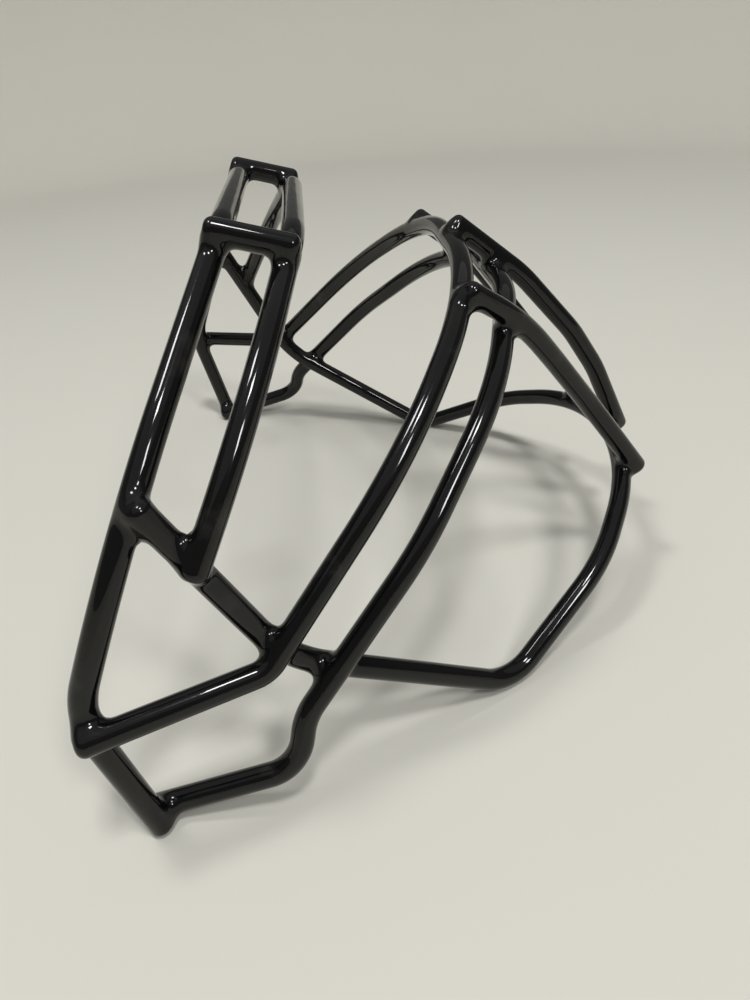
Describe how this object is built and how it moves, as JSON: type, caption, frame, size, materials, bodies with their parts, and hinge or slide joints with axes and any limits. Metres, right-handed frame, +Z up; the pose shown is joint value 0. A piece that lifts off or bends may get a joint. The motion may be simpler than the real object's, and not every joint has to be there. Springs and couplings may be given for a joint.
{
  "type": "football helmet facemask",
  "caption": "Open cage of bent and welded steel wire with a gloss black plastic coat, for the front of a football helmet.",
  "frame": {"origin": "middle of the base, as the facemask lies on its back", "axes": "+X towards the wearer's right, +Y from the brow to the chin, +Z up from the table and out of the face"},
  "size_m": [0.2686, 0.188, 0.1433],
  "materials": {
    "coat": "gloss",
    "steel": "drawn wire"
  },
  "bodies": {
    "root": {"crossbar_left_coat": "coat", "crossbar_left_core": "steel", "crossbar_right_coat": "coat", "crossbar_right_core": "steel", "inner_brow_bar_coat": "coat", "inner_brow_bar_core": "steel", "jaw_wire_coat": "coat", "jaw_wire_core": "steel", "lower_bar_coat": "coat", "lower_bar_core": "steel", "post_left_coat": "coat", "post_left_core": "steel", "post_middle_coat": "coat", "post_middle_core": "steel", "post_right_coat": "coat", "post_right_core": "steel", "rim_coat": "coat", "rim_core": "steel", "upper_bar_coat": "coat", "upper_bar_core": "steel", "weld_crossbar_on_inner_brow_bar_left": "coat", "weld_crossbar_on_inner_brow_bar_right": "coat", "weld_crossbar_on_rim_left": "coat", "weld_crossbar_on_rim_right": "coat", "weld_inner_brow_bar_on_jaw_wire_left": "coat", "weld_inner_brow_bar_on_jaw_wire_right": "coat", "weld_jaw_wire_on_rim_left": "coat", "weld_jaw_wire_on_rim_right": "coat", "weld_lower_bar_on_jaw_wire_left": "coat", "weld_lower_bar_on_jaw_wire_right": "coat", "weld_lower_bar_on_rim_left": "coat", "weld_lower_bar_on_rim_right": "coat", "weld_post_middle_on_jaw_wire": "coat", "weld_post_middle_on_lower_bar": "coat", "weld_post_middle_on_upper_bar": "coat", "weld_post_on_jaw_wire_left": "coat", "weld_post_on_jaw_wire_right": "coat", "weld_post_on_lower_bar_left": "coat", "weld_post_on_lower_bar_right": "coat", "weld_post_on_upper_bar_left": "coat", "weld_post_on_upper_bar_right": "coat", "weld_upper_bar_on_jaw_wire_left": "coat", "weld_upper_bar_on_jaw_wire_right": "coat", "weld_upper_bar_on_rim_left": "coat", "weld_upper_bar_on_rim_right": "coat"}
  },
  "joints": []
}
